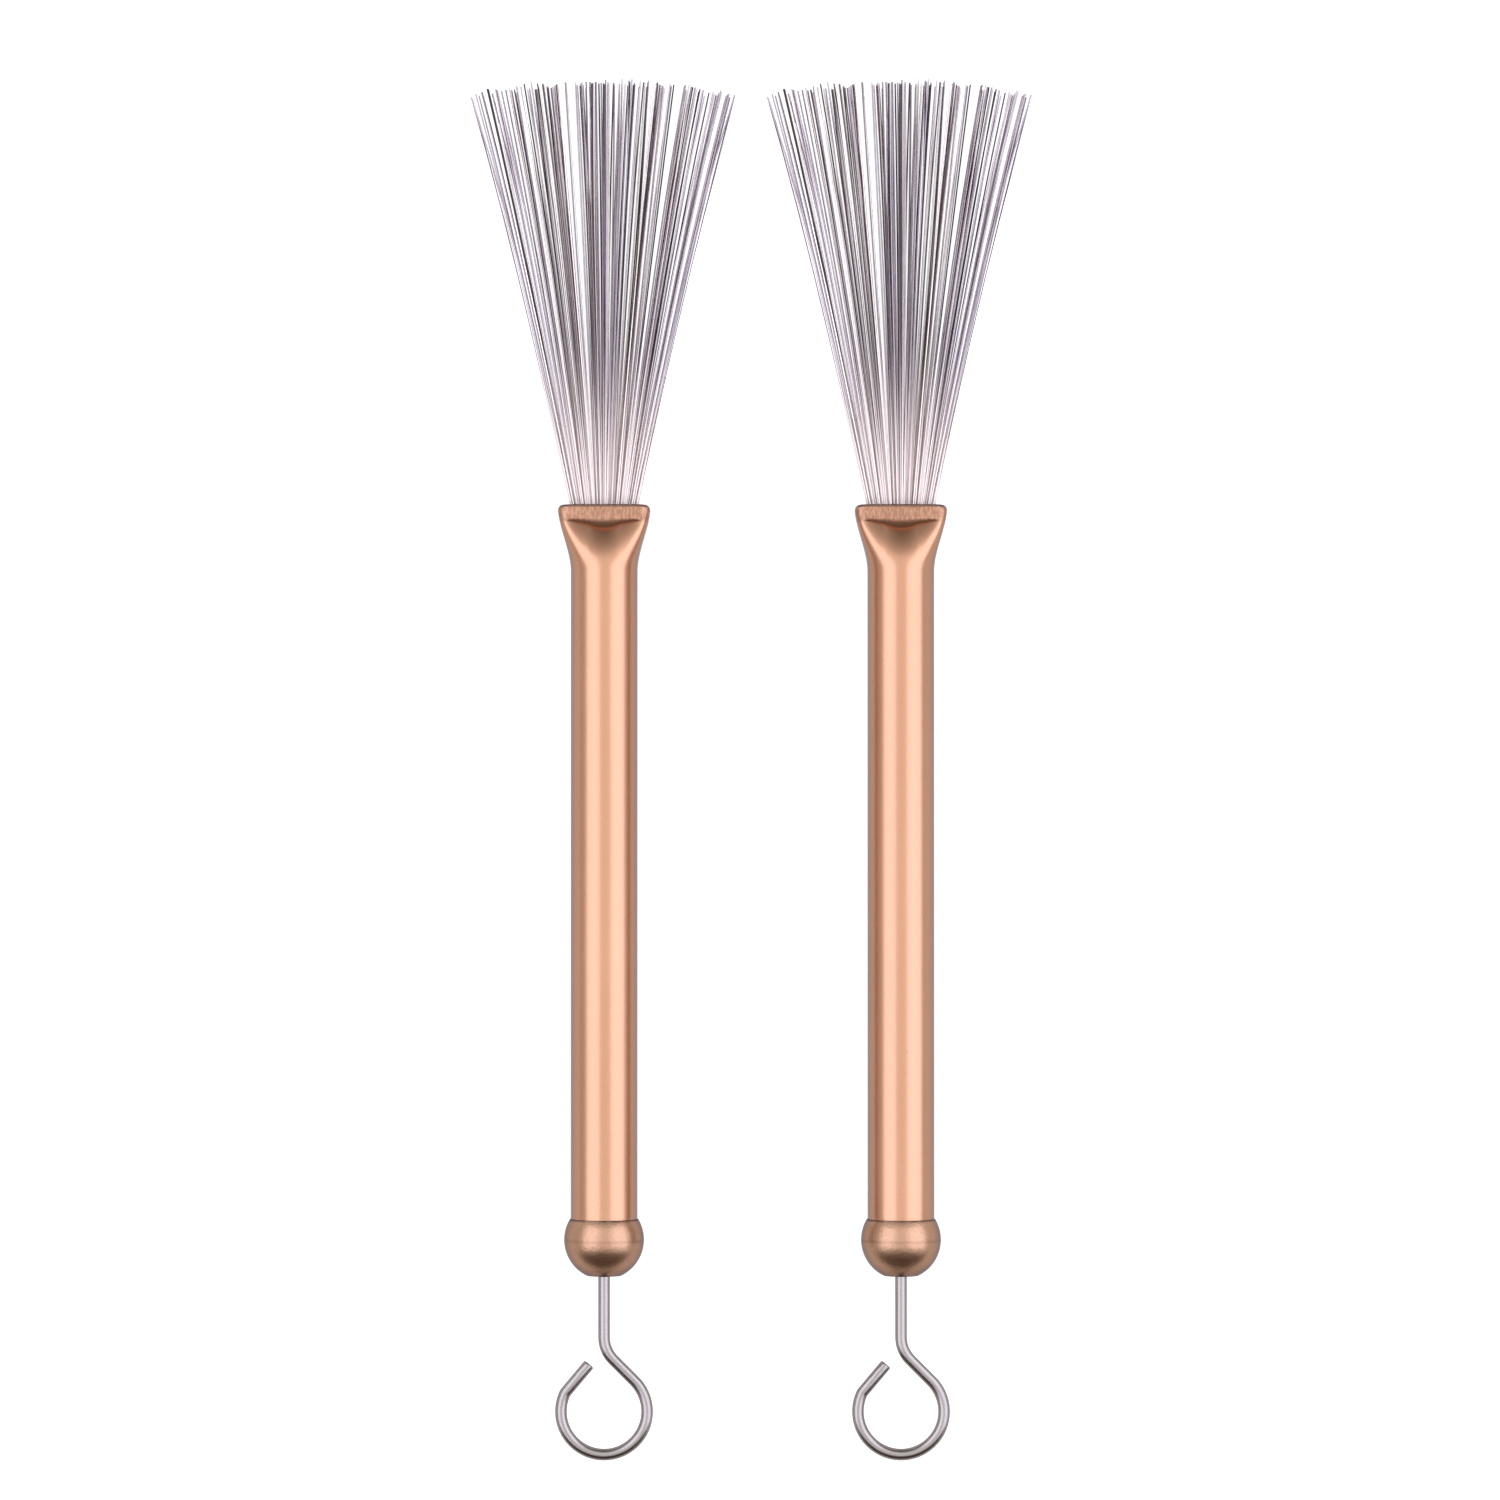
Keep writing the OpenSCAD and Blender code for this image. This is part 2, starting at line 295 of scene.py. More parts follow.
handleFinish = {
    "colour": (0.365, 0.178, 0.096, 1),
    "tint": (0.400, 0.200, 0.112, 1),
    "dull": (0.230, 0.105, 0.058, 1),
    # painted shade: the dark colour laid along the mouth's rim
    "edge": (0.100, 0.045, 0.026, 1),
    "steep": (0.30, 0.36, 0.46, 1),     # how the metal darkens where it is seen at a low angle
    "roughness": 0.29,
    "cloud": 38.0,
    "grain": 2200.0,
    "draw": 900.0,
}


def makeHandleFinish():
    look = handleFinish
    finish = Finish(
        "rose copper tube", Metallic=1.0, Specular_Tint=look["steep"], Coat_Weight=0.45, Coat_Roughness=0.22
    )
    depth = finish.attribute("depth")
    rim = 1 - finish.step(depth, 0.45, 0.80)
    band = 1 - finish.step(depth, 3.4, 4.6)
    pressed = 1 - finish.step(depth, 9.0, 17.0)
    cloud = finish.noise(look["cloud"], detail=3.0)
    grain = finish.noise(look["grain"], (1, 0.35, 1))
    draw = finish.noise(look["draw"], (1, 0.02, 1), detail=3.0)
    tone = finish.mix(cloud, look["colour"], look["tint"])
    tone = finish.mix(finish.step(grain, 0.62, 0.80) * 0.30, tone, look["dull"])
    # The band behind the rim: its grain is the pressed metal's own, and its overall darkening is painted
    # shade, standing in for a dimmer reflection.
    tone = finish.mix(band * (0.25 + finish.step(grain, 0.38, 0.60) * 0.65), tone, look["dull"])
    # Painted shade: the rim darkened, standing in for the shade on the lip's end face.
    tone = finish.mix(rim * 0.85, tone, look["edge"])
    finish.feed("Base Color", tone)
    rough = look["roughness"] + (cloud - 0.5) * 0.08 + pressed * 0.03 + band * 0.12
    finish.feed("Roughness", rough + (draw - 0.5) * 0.06)
    height = grain * (0.12 + band * 0.55) + draw * 0.10
    finish.feed("Normal", finish.bump(height, 0.00003))
    return finish.material


knobFinish = {
    "colour": (0.315, 0.168, 0.096, 1),
    "tint": (0.355, 0.195, 0.114, 1),
    "dull": (0.170, 0.080, 0.048, 1),
    "seat": (0.060, 0.030, 0.020, 1),   # painted shadow: the dark line in the gap where it meets the tube
    "steep": (0.28, 0.34, 0.44, 1),
    "roughness": 0.32,
    "cloud": 70.0,
    "grain": 1800.0,
}


def makeKnobFinish():
    look = knobFinish
    finish = Finish(
        "rose copper knob", Metallic=1.0, Specular_Tint=look["steep"], Coat_Weight=0.3, Coat_Roughness=0.35
    )
    depth = finish.attribute("depth")
    seam = finish.step(depth, 175.2, 175.6) * (1 - finish.step(depth, 175.9, 176.3))
    cloud = finish.noise(look["cloud"], detail=3.0)
    grain = finish.noise(look["grain"], detail=3.0)
    tone = finish.mix(cloud, look["colour"], look["tint"])
    tone = finish.mix(finish.step(grain, 0.52, 0.78) * 0.35, tone, look["dull"])
    # The seam's dark line is the knob's own; the darkening towards the tail face is painted shade, standing
    # in for the dark reflection there.
    tone = finish.mix(seam * 0.30 + finish.step(depth, 180.5, 184.0) * 0.45, tone, look["dull"])
    # Painted shadow in the gap between knob and tube.
    tone = finish.mix(0.8 - finish.step(depth, 170.8, 171.3) * 0.8, tone, look["seat"])
    finish.feed("Base Color", tone)
    finish.feed("Roughness", look["roughness"] + (cloud - 0.5) * 0.10 + (grain - 0.5) * 0.08)
    finish.feed("Normal", finish.bump(grain, 0.00005))
    return finish.material


rodFinish = {
    "colour": (0.215, 0.183, 0.168, 1),
    "tint": (0.275, 0.235, 0.215, 1),
    "dull": (0.110, 0.098, 0.102, 1),
    "steep": (0.45, 0.43, 0.45, 1),
    "roughness": 0.22,
    "cloud": 120.0,
    "speck": 2400.0,
}


def makeRodFinish():
    look = rodFinish
    finish = Finish("drawn steel rod", Metallic=1.0, Specular_Tint=look["steep"])
    around = finish.attribute("around")
    along = finish.attribute("along")
    track = finish.node("CombineXYZ", {}, {"X": around * 9.0, "Y": along * 0.03, "Z": 0.0})
    draw = finish.node("TexNoise", {}, {"Vector": track, "Scale": 1.0, "Detail": 4.0, "Roughness": 0.6})
    cloud = finish.noise(look["cloud"], detail=3.0)
    speck = finish.noise(look["speck"])
    tone = finish.mix(draw, look["colour"], look["tint"])
    tone = finish.mix(finish.step(speck, 0.66, 0.80) * 0.35, tone, look["dull"])
    finish.feed("Base Color", tone)
    finish.feed("Roughness", look["roughness"] + (cloud - 0.5) * 0.10 + (draw - 0.5) * 0.08)
    finish.feed("Normal", finish.bump(draw + speck * 0.2, 0.00002))
    return finish.material


wireFinish = {
    "roughness": 0.32,
    "stops": (
        (0.00, (0.030, 0.020, 0.020)),
        (0.16, (0.072, 0.052, 0.050)),
        (0.38, (0.205, 0.160, 0.172)),
        (0.60, (0.357, 0.286, 0.303)),
        (0.80, (0.467, 0.381, 0.315)),
        (1.00, (0.720, 0.620, 0.580)),
    ),
    "root": (0.720, 0.600, 0.540, 1),   # painted light: the wires are lighter close to the mouth, standing in for the light they catch from each other where they lie close
    "steep": (0.40, 0.38, 0.40, 1),
    "drift": 160.0,
    "speck": 3000.0,
}


def makeWireFinish():
    look = wireFinish
    finish = Finish("spring steel wire", Specular_Tint=look["steep"])
    tone = finish.attribute("tone")
    # Painted light: a share that lightens the wires close to the mouth, and makes them less metallic and
    # rougher.
    paintedLight = 1 - finish.step(finish.attribute("run"), 0.15, 0.50)
    drift = finish.noise(look["drift"], (1, 0.12, 1))
    speck = finish.noise(look["speck"], (1, 0.2, 1), detail=1.0)
    shade = finish.ramp(tone + (drift - 0.5) * 0.45 + (speck - 0.5) * 0.15, *look["stops"])
    finish.feed("Base Color", finish.mix(paintedLight * 0.85, shade, look["root"]))
    finish.feed("Metallic", 1 - paintedLight * 0.75)
    finish.feed("Roughness", look["roughness"] + (drift - 0.5) * 0.20 + paintedLight * 0.15)
    return finish.material


def makeInnerFinishes():
    # The pieces inside the tube, which show only through the mouth.
    nylon = Finish("moulded nylon", Roughness=0.42)
    cloud = nylon.noise(220.0, detail=3.0)
    nylon.feed("Base Color", nylon.mix(cloud, (0.74, 0.71, 0.64, 1), (0.82, 0.80, 0.74, 1)))
    nylon.feed("Normal", nylon.bump(nylon.noise(1500.0), 0.00002))
    rubber = Finish("black rubber", Roughness=0.62)
    bloom = rubber.noise(600.0, detail=3.0)
    rubber.feed("Base Color", rubber.mix(bloom, (0.018, 0.018, 0.019, 1), (0.045, 0.044, 0.043, 1)))
    rubber.feed("Normal", rubber.bump(rubber.noise(2500.0), 0.00002))
    brass = Finish("crimped brass", Metallic=1.0)
    stain = brass.noise(300.0, detail=4.0)
    brass.feed("Base Color", brass.mix(stain, (0.56, 0.38, 0.15, 1), (0.70, 0.52, 0.24, 1)))
    brass.feed("Roughness", 0.28 + stain * 0.15)
    brass.feed("Normal", brass.bump(brass.noise(1800.0), 0.00002))
    steel = Finish("spring steel washer", Metallic=1.0)
    turned = steel.noise(1500.0, detail=3.0)
    steel.feed("Base Color", steel.mix(turned, (0.42, 0.41, 0.42, 1), (0.56, 0.55, 0.56, 1)))
    steel.feed("Roughness", 0.25 + turned * 0.15)
    return {
        "guide_bush": nylon.material,
        "slider": nylon.material,
        "end_bumper": rubber.material,
        "slider_rings": rubber.material,
        "crimp_ferrule": brass.material,
        "lock_washer": steel.material,
    }


# Handle tube.

handle = {
    "radius": 8.0,
    "wall": 1.1,
    "length": 170.7,
    "around": 144,          # points round the tube
    "tailBevel": 0.3,
}

mouth = {
    "width": 22.2,
    "thickness": 10.0,
    "flare": 16.0,          # length over which the tube flattens
    "power": 6.0,           # squareness of the outline at the rim
    "band": 3.3,            # flat band behind the rim
    "cornerRound": 1.4,
    "edgeRound": 0.5,
    "edgeRoll": 0.22,
    "slope": 0.47,          # fall of the pressed strip behind the band
    "valleySides": 4.65,    # depth of the crease at the sides, and at the middle
    "valleyMiddle": 5.85,
    "dipHalf": 0.42,        # share of the half width over which the crease dips
    "valleyRing": 5.0,      # the ring of points that is drawn onto the crease, and where that drawing ends
    "valleyEnd": 10.0,
    "groove": 0.10,         # the crease's own fine groove, and its half width
    "grooveHalf": 0.16,
    "pressedHalf": 0.81,    # share of the half width that is pressed
    "riseMiddle": 2.1,      # how fast the mouth swells to the tube behind the crease
    "riseSides": 1.8,
    "blendFront": 0.13,     # width of the blend from the pressed part to the flanks, growing backwards
    "blendBack": 0.45,
    "rimRings": (0.06, 0.14, 0.26, 0.42, 0.7, 1.0, 1.4, 2.0, 2.6, 3.0),
    "creaseRings": (4.90, 5.0, 5.11, 5.2, 5.35, 5.6),
}


def valleyDepth(s):
    middle = max(1 - (s / mouth["dipHalf"]) ** 2, 0)
    end = smooth((abs(s) - mouth["dipHalf"]) / (mouth["pressedHalf"] - mouth["dipHalf"]))
    return blendTo(mouth["valleySides"], mouth["valleyMiddle"], middle) - 0.75 * end


def mouthHeight(depth, s, valley):
    # Half height of the mouth at a depth, at a share s of its half width.
    rim = mouth["thickness"] / 2
    full = handle["radius"]
    plain = blendTo(full, rim, smooth(1 - depth / mouth["flare"]))
    if depth <= mouth["band"]:
        pressed = rim
    elif depth <= valley:
        behind = (depth - mouth["band"]) / (valley - mouth["band"])
        pressed = rim - mouth["slope"] * (valley - mouth["band"]) * behind ** 1.5
    else:
        low = rim - mouth["slope"] * (valley - mouth["band"])
        left = max(1 - (depth - valley) / (mouth["flare"] - valley), 0)
        rise = blendTo(mouth["riseMiddle"], mouth["riseSides"], smooth(abs(s) / 0.5))
        pressed = full - (full - low) * left ** rise
    pressed -= mouth["groove"] * max(1 - abs(depth - valley) / mouth["grooveHalf"], 0)
    width = blendTo(mouth["blendFront"], mouth["blendBack"], smooth(depth / mouth["flare"]))
    inner = mouth["pressedHalf"] - 0.6 * width
    return blendTo(pressed, plain, smooth((abs(s) - inner) / width))


def towardValley(depth, valley):
    # Draws the rings behind the band so that one of them follows the crease.
    band, ring, end = mouth["band"], mouth["valleyRing"], mouth["valleyEnd"]
    if depth <= band or depth >= end:
        return depth
    if depth <= ring:
        return blendTo(band, valley, (depth - band) / (ring - band))
    return blendTo(valley, end, (depth - ring) / (end - ring))


def mouthOutline(depth, angle):
    # A point of the outline at this depth, as shares of its half width and half height.
    power = blendTo(2, mouth["power"], smooth(1 - depth / mouth["flare"]))
    c, s = abs(math.cos(angle)), abs(math.sin(angle))
    reach = (c ** power + s ** power) ** (-1 / power)
    return reach * math.cos(angle), reach * math.sin(angle)


def roundedOff(depth, length, amount):
    u = max(1 - depth / length, 0)
    return amount * (1 - math.sqrt(1 - u * u))


def pressMouth(co):
    # Where a point of the round tube goes when its end is pressed flat.
    depth = -co.y
    if depth >= mouth["flare"]:
        return co
    angle = math.atan2(co.z, co.x)
    place, _ = mouthOutline(depth, angle)
    valley = valleyDepth(place)
    depth = towardValley(depth, valley)
    across, up = mouthOutline(depth, angle)
    halfWidth = blendTo(handle["radius"], mouth["width"] / 2, smooth(1 - depth / mouth["flare"]))
    corner = roundedOff(depth, mouth["cornerRound"], mouth["cornerRound"])
    roll = roundedOff(depth, mouth["edgeRound"], mouth["edgeRoll"])
    return Vector((
        across * (halfWidth - corner),
        -depth,
        up * (mouthHeight(depth, place, valley) - roll),
    ))


def ringDepths():
    # Where the tube is cut into rings: close together over the rim and the crease, wide apart behind.
    band = mouth["band"]
    depths = [*mouth["rimRings"], band]
    depths += [band + 0.14 * k for k in range(1, 12)]
    depths += mouth["creaseRings"]
    depths += [6.0 + 0.4 * k for k in range(25)]
    depths += [20.0 + 15.0 * k for k in range(11)]
    return depths


def makeHandle():
    size = handle
    clearSelection()
    bpy.ops.mesh.primitive_cylinder_add(
        vertices=size["around"], radius=size["radius"], depth=size["length"], end_fill_type="NOTHING",
        location=(0, -size["length"] / 2, 0), rotation=(math.pi / 2, 0, 0),
    )
    piece = startPiece("handle")
    editMode()
    for depth in ringDepths():
        cutAcross(depth)
    objectMode()
    for point in piece.data.vertices:
        point.co = pressMouth(point.co)
    applyModifier(piece, "SOLIDIFY", thickness=size["wall"], offset=-1, use_even_offset=True)
    faceOutward(piece)
    bevelSharp(piece, size["tailBevel"], 3, 60)
    smoothFaces(piece, 40)
    giveAttribute(piece, "depth", lambda co: -co.y)
    return piece


# End knob.

knob = {
    "radius": 9.56,
    "centre": 175.7,        # depth of the ball's centre
    "front": 170.7,
    "tail": 184.3,
    "spigotRadius": 6.88,
    "spigotFront": 155.7,
    "bushRadius": 2.57,
    "bushEnd": 182.3,
    "holeRadius": 1.45,
    "tailBevel": 0.45,
}


def endFace(piece, depth):
    pickFaces(piece, lambda face: abs(face.center.y + depth) < 0.01 and abs(face.normal.y) > 0.99)


def insetTo(radius, rim):
    bpy.ops.mesh.inset(thickness=rim - radius, depth=0)


def pushForward(length):
    bpy.ops.mesh.extrude_region_move(TRANSFORM_OT_translate={"value": (0, length, 0)})


def makeKnob():
    size = knob
    clearSelection()
    bpy.ops.mesh.primitive_uv_sphere_add(
        segments=96, ring_count=64, radius=size["radius"],
        location=(0, -size["centre"], 0), rotation=(math.pi / 2, 0, 0),
    )
    piece = startPiece("knob")
    editMode()
    cutAcross(size["front"], "front")
    cutAcross(size["tail"], "back")
    # Tail: a flat face with the hole that the rod runs in.
    endFace(piece, size["tail"])
    tailRim = math.sqrt(size["radius"] ** 2 - (size["tail"] - size["centre"]) ** 2)
    insetTo(size["holeRadius"], tailRim)
    pushForward(size["tail"] - size["bushEnd"])
    bpy.ops.mesh.delete(type="FACE")
    # Front: a spigot that fits in the tube, bored for the bush.
    endFace(piece, size["front"])
    frontRim = math.sqrt(size["radius"] ** 2 - (size["front"] - size["centre"]) ** 2)
    insetTo(size["spigotRadius"], frontRim)
    pushForward(size["front"] - size["spigotFront"])
    insetTo(size["bushRadius"], size["spigotRadius"])
    pushForward(size["spigotFront"] - size["bushEnd"])
    insetTo(size["holeRadius"], size["bushRadius"])
    bpy.ops.mesh.delete(type="FACE")
    objectMode()
    faceOutward(piece)
    bevelSharp(piece, size["tailBevel"], 4, 50)
    smoothFaces(piece, 40)
    giveAttribute(piece, "depth", lambda co: -co.y)
    return piece


# Pull rod.

rod = {
    "radius": 1.4,
    "around": 28,
    "front": 23.0,          # depth of the rod's end inside the ferrule
    "knobTail": 184.3,
    "neckSet": 17.9,
    "neckTurn": 45.0,
    "bendRadius": 7.8,
    "loopRadius": 10.3,
    "loopSweep": 248.0,
    "endBendRadius": 3.0,
    "endTurn": 17.0,
    "end": 8.5,
    "endBevel": 0.35,
    "straightSteps": 12,
}


class RodPath:
    # The way the rod's end face goes, which is also how far along it each point lies.
    def __init__(self):
        self.spot = Vector((0, -rod["front"], 0))
        self.heading = Vector((0, -1, 0))

    def straight(self, length):
        bpy.ops.mesh.extrude_region_move(TRANSFORM_OT_translate={"value": self.heading * length})
        self.spot += self.heading * length

    def bend(self, radius, degrees, steps):
        # A positive turn goes left as seen from above.
        side = 1 if degrees > 0 else -1
        leftward = Vector((-self.heading.y, self.heading.x, 0))
        centre = self.spot + leftward * side * radius
        turn = math.radians(degrees)
        bpy.ops.mesh.spin(steps=steps, angle=-turn, center=centre, axis=(0, 0, 1))
        spun = Matrix.Rotation(turn, 3, "Z")
        self.spot = centre + spun @ (self.spot - centre)
        self.heading = spun @ self.heading


def makeRod():
    size = rod
    clearSelection()
    bpy.ops.mesh.primitive_circle_add(
        vertices=size["around"], radius=size["radius"], fill_type="NGON",
        location=(0, -size["front"], 0), rotation=(math.pi / 2, 0, 0),
    )
    piece = startPiece("rod")
    turn = math.radians(size["neckTurn"])
    bendRun = size["bendRadius"] * math.tan(turn / 2)
    straightRun = size["knobTail"] + size["neckSet"] - bendRun - size["front"]
    bpy.ops.object.mode_set(mode="EDIT")
    bpy.ops.mesh.select_all(action="SELECT")
    path = RodPath()
    for k in range(size["straightSteps"]):
        path.straight(straightRun / size["straightSteps"])
    path.bend(size["bendRadius"], size["neckTurn"], 10)
    path.straight(size["loopRadius"] / math.tan(turn) - bendRun)
    path.bend(size["loopRadius"], -size["loopSweep"], 72)
    path.bend(size["endBendRadius"], -size["endTurn"], 5)
    path.straight(size["end"])
    objectMode()
    faceOutward(piece)
    bevelSharp(piece, size["endBevel"], 3, 60)
    smoothFaces(piece, 50)
    return piece


def trackRod(piece):
    # Numbers along and around the rod, for its drawn finish.
    size = rod
    turn = math.radians(size["neckTurn"])
    corner = size["knobTail"] + size["neckSet"]
    centre = Vector((0, -(corner + size["loopRadius"] / math.sin(turn)), 0))

    def along(co):
        if -co.y < corner:
            return -co.y
        spoke = co - centre
        return corner + size["loopRadius"] * (math.atan2(spoke.x, spoke.y) + math.pi)

    def around(co):
        if -co.y < corner:
            return math.atan2(co.z, co.x)
        spoke = co - centre
        return math.atan2(co.z, Vector((spoke.x, spoke.y)).length - size["loopRadius"])

    giveAttribute(piece, "along", along)
    giveAttribute(piece, "around", around)


# Wires.

wires = {
    "count": 151,
    "radius": 0.20,
    "around": 6,
    "steps": 8,
    "length": 116.2,
    "grip": 0.6,            # length held inside the ferrule
    "root": 15.0,           # depth at which the wires leave the ferrule
    "bundleWidth": 9.8,
    "bundleThickness": 3.1,
    "fanWidth": 64.4,
    "fanThickness": 2.9,    # thin enough to pass the mouth's crease when drawn in
    "spread": 0.08,         # how much denser the fan is at its middle
    "outward": 0.085,       # share of the fanning that comes late, so that the outer wires curve
    "uneven": 0.55,         # how far the tips stand out of line
    "clumps": 30,
    "pull": 0.30,           # how strongly a wire leans towards its clump
    "shuffle": 0.45,        # how far a wire leaves its even place, as a share of the spacing
    "scatter": 0.25,
    "margin": 0.3,          # the least a tip stays inside the fan's edge, before the partings
    "bow": 0.5,
    "flatBow": 0.15,        # the share of that bow that goes up and down
    "stray": 0.04,          # how far the tips leave the fan's thickness, and the most they do
    "strayMost": 0.06,
    "seed": 11,
}

# Open partings near the tips: place across the fan, half width, and how far the push reaches.
partings = ((-10.2, 1.05, 3.0), (17.8, 1.75, 4.0), (-20.5, 0.55, 2.0), (9.2, 0.45, 2.0), (25.2, 0.5, 2.0))

# How light the wires are: the share of them up to here, and the darkest and lightest of that group.
tones = ((0.20, 0.02, 0.18), (0.48, 0.25, 0.48), (0.84, 0.48, 0.72), (1.00, 0.78, 1.00))


def pushAside(x):
    return sum(math.copysign(half * math.exp(-abs(x - at) / reach), x - at) for at, half, reach in partings)


def fanPlan():
    # The seat and the tip of each wire, in millimetres, and its own tone.
    size = wires
    dice = random.Random(size["seed"])
    halfFan = size["fanWidth"] / 2
    clumps = sorted(dice.uniform(-halfFan, halfFan) for k in range(size["clumps"]))
    plan = []
    for k in range(size["count"]):
        q = -1 + (k + 0.5 + dice.uniform(-size["shuffle"], size["shuffle"])) * 2 / size["count"]
        across = q * (1 - size["spread"] + size["spread"] * q * q)
        room = math.sqrt(max(1 - across * across, 0.05))
        up = dice.uniform(-1, 1) * room
        seat = Vector((across * size["bundleWidth"] / 2, 0, up * size["bundleThickness"] / 2))
        tipX = across * halfFan
        nearest = min(clumps, key=lambda at: abs(at - tipX))
        tipX += (nearest - tipX) * size["pull"] * dice.uniform(0.4, 1.0) + dice.gauss(0, size["scatter"])
        tipX = max(min(tipX, halfFan - size["margin"]), size["margin"] - halfFan)
        tipX += pushAside(tipX) * (1 - abs(tipX) / (halfFan + 6))
        stray = max(min(dice.gauss(0, size["stray"]), size["strayMost"]), -size["strayMost"])
        tip = Vector((tipX, 0, up * size["fanThickness"] / 2 + stray))
        plan.append({
            "seat": seat,
            "tip": tip,
            "extra": dice.gauss(0, size["uneven"]),
            "bow": (dice.gauss(0, size["bow"]), dice.gauss(0, size["bow"] * size["flatBow"])),
            "tone": toneFor(dice),
        })
    return plan


def toneFor(dice):
    kind = dice.random()
    for upTo, darkest, lightest in tones:
        if kind < upTo:
            return dice.uniform(darkest, lightest)


def bendWire(co, wire):
    # co is a point of the straight wire, whose root is at 0 and whose tip is at its length.
    size = wires
    t = co.y / size["length"]
    late = size["outward"]
    fan = (1 - late) * t + late * max(t, 0) ** 3
    dx = wire["tip"].x - wire["seat"].x
    dz = wire["tip"].z - wire["seat"].z
    forward = math.sqrt((size["length"] + wire["extra"]) ** 2 - dx * dx - dz * dz)
    sway = math.sin(math.pi * min(max(t, 0), 1)) * max(t, 0)
    return Vector((
        wire["seat"].x + dx * fan + wire["bow"][0] * sway + co.x,
        -size["root"] + forward * t,
        wire["seat"].z + dz * t + wire["bow"][1] * sway + co.z,
    ))


def makeWires():
    size = wires
    clearSelection()
    whole = size["length"] + size["grip"]
    bpy.ops.mesh.primitive_cylinder_add(
        vertices=size["around"], radius=size["radius"], depth=whole,
        location=(0, whole / 2 - size["grip"], 0), rotation=(math.pi / 2, 0, 0),
    )
    straight = startPiece("wire")
    editMode()
    for k in range(1, size["steps"]):
        cutAcross(-size["length"] * k / size["steps"])
    objectMode()
    giveAttribute(straight, "run", lambda co: co.y / size["length"])
    strands = []
    for wire in fanPlan():
        strand = straight.copy()
        strand.data = straight.data.copy()
        bpy.context.scene.collection.objects.link(strand)
        for point in strand.data.vertices:
            point.co = bendWire(point.co, wire)
        giveAttribute(strand, "tone", lambda co, tone=wire["tone"]: tone)
        strands.append(strand)
    bpy.data.objects.remove(straight)
    clearSelection()
    for strand in strands:
        strand.select_set(True)
    bpy.context.view_layer.objects.active = strands[0]
    bpy.ops.object.join()
    piece = bpy.context.object
    smoothFaces(piece, 65)
    return piece


# Putting the pair together.

setOut(makeHandle(), "Handle", "_handle_tube", makeHandleFinish(), "_handle")
setOut(makeKnob(), "Knob", "_end_knob", makeKnobFinish(), "_handle")
rodMaster = makeRod()
trackRod(rodMaster)
setOut(rodMaster, "PullRod", "_pull_rod", makeRodFinish(), "_rod")
fans = setOut(makeWires(), "Wires", "_wires", makeWireFinish(), "_rod")
for side, fan in fans.items():
    side + "_rod_slide"
    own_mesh(fan)

innerFinishes = makeInnerFinishes()
for side in sides:
    for name, material in innerFinishes.items():
        mesh = frame["nodes"][side + "_" + name].data
        mesh.materials.clear()
        mesh.materials.append(material)
print("materials on the inner pieces")


# Table, light and camera.

table = {
    "size": 7.0,
    "glow": 0.93,
    "colour": (0.20, 0.20, 0.20, 1),
    "fleck": (0.22, 0.22, 0.22, 1),
}


def makeTable():
    clearSelection()
    bpy.ops.mesh.primitive_plane_add(size=table["size"], location=(0, 0, 0))
    top = bpy.context.object
    top.name = "table"
    finish = Finish("white table", Roughness=0.9)
    paper = finish.noise(40.0, detail=3.0)
    finish.feed("Base Color", finish.mix(paper, table["colour"], table["fleck"]))
    finish.shader.inputs["Specular IOR Level"].default_value = 0.0
    finish.shader.inputs["Emission Color"].default_value = (1.0, 1.0, 1.0, 1)
    finish.shader.inputs["Emission Strength"].default_value = table["glow"]
    top.data.materials.append(finish.material)


studio = {
    "distance": 0.80,
    "boxLength": 1.00,          # along the brushes
    "boxForward": 0.05,         # how far its middle stands towards the wires
    "left": (15.0, 62.0),       # where each softbox starts and ends, in degrees from straight up
    "right": (22.0, 74.0),
    "overhead": (-12.0, 22.0),
    "leftGlow": 2.4,
    "rightGlow": 2.5,
    "overheadGlow": 1.0,
    "cool": (0.87, 1.0, 1.30),
    "mild": (0.88, 0.97, 1.12), # the overhead light's colour
    "sky": (1.00, 1.0, 1.00),   # the pale room, down to the horizon
    "dim": (0.14, 0.11, 0.09),  # the same room high up beyond the softboxes' tail ends
    "front": (                  # and beyond their front ends, where it fades towards the horizon
        (0.55, (1.35, 1.40, 1.50)),
        (0.70, (1.00, 1.05, 1.10)),
        (0.80, (0.75, 0.78, 0.82)),
        (0.90, (0.46, 0.48, 0.50)),
        (0.97, (0.26, 0.26, 0.27)),
    ),
}


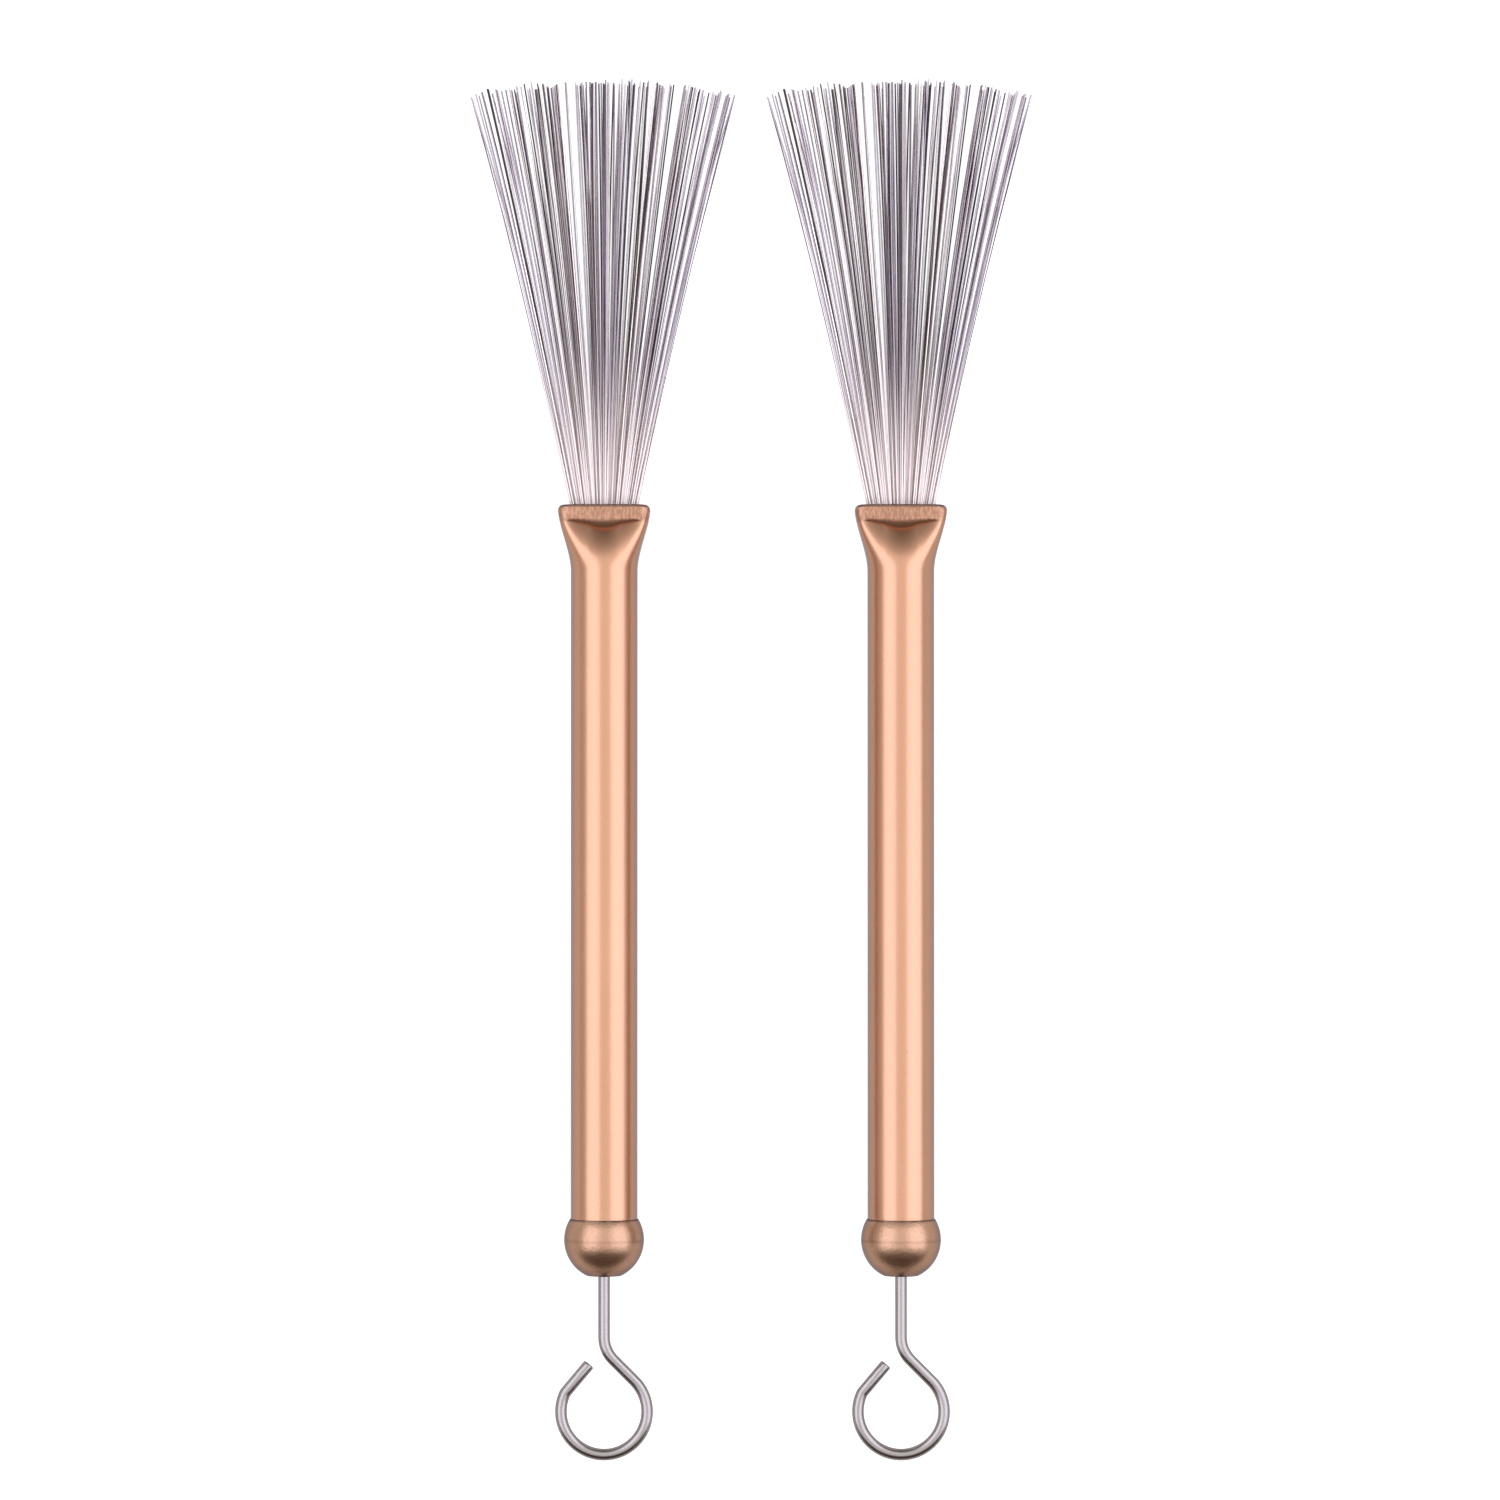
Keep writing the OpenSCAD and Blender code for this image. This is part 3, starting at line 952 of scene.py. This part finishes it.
def addBox(name, start, end, lean, glow, colour):
    # A soft light that fills the sky from one angle to another, leaning left (-1) or right (1).
    middle = math.radians((start + end) / 2) * lean
    width = 2 * studio["distance"] * math.tan(math.radians(end - start) / 2)
    light = bpy.data.lights.new(name, "AREA")
    light.shape = "RECTANGLE"
    light.color = colour
    light.size = width
    light.size_y = studio["boxLength"]
    light.energy = glow * math.pi * width * studio["boxLength"]
    lamp = bpy.data.objects.new(name, light)
    bpy.context.scene.collection.objects.link(lamp)
    lamp.location = (
        studio["distance"] * math.sin(middle), studio["boxForward"], studio["distance"] * math.cos(middle)
    )
    lamp.rotation_euler = (0, middle, 0)
    lamp.visible_camera = False


class Room:
    # The nodes of the world, made in the same way as a material's.
    def __init__(self, name):
        self.world = bpy.data.worlds.new(name)
        self.world.use_nodes = True
        self.nodes = self.world.node_tree.nodes
        self.links = self.world.node_tree.links

    node = Finish.node
    setStops = Finish.setStops
    step = Finish.step
    mix = Finish.mix
    ramp = Finish.ramp


def makeLight():
    addBox("leftBox", *studio["left"], -1, studio["leftGlow"], studio["cool"])
    addBox("rightBox", *studio["right"], 1, studio["rightGlow"], studio["cool"])
    addBox("overheadBox", *studio["overhead"], 1, studio["overheadGlow"], studio["mild"])
    room = Room("studio")
    bpy.context.scene.world = room.world
    way = room.node("TexCoord", output="Generated")
    upward = room.node("SeparateXYZ", {}, {0: way}, "Z")
    forward = room.node("SeparateXYZ", {}, {0: way}, "Y")
    unseen = 1 - room.node("LightPath", output="Is Camera Ray")
    tailEnd = room.step(upward, 0.00, 0.08) * room.step(0 - forward, 0.38, 0.58) * unseen
    frontEnd = room.step(upward, 0.03, 0.12) * room.step(forward, 0.42, 0.56) * unseen
    sky = room.mix(tailEnd, (*studio["sky"], 1), (*studio["dim"], 1))
    sky = room.mix(frontEnd, sky, room.ramp(forward, *studio["front"]))
    room.links.new(sky.socket, room.nodes["Background"].inputs["Color"])


view = {
    "lens": 140.0,
    "sensor": 36.0,
    "across": 0.3587,          # width of table in view, at the height of the brushes' axes
    "aim": (-0.0006, 0.0050),  # from the middle of the pair
}


def makeCamera():
    low, high = cadBox
    data = bpy.data.cameras.new("camera")
    data.lens = view["lens"]
    data.sensor_width = view["sensor"]
    camera = bpy.data.objects.new("camera", data)
    bpy.context.scene.collection.objects.link(camera)
    middle = (low + high) / 2
    distance = view["across"] * view["lens"] / view["sensor"]
    camera.location = (middle.x + view["aim"][0], middle.y + view["aim"][1], middle.z + distance)
    bpy.context.scene.camera = camera
    bpy.context.scene.view_settings.view_transform = "Standard"


makeTable()
makeLight()
makeCamera()
print("table, light and camera")
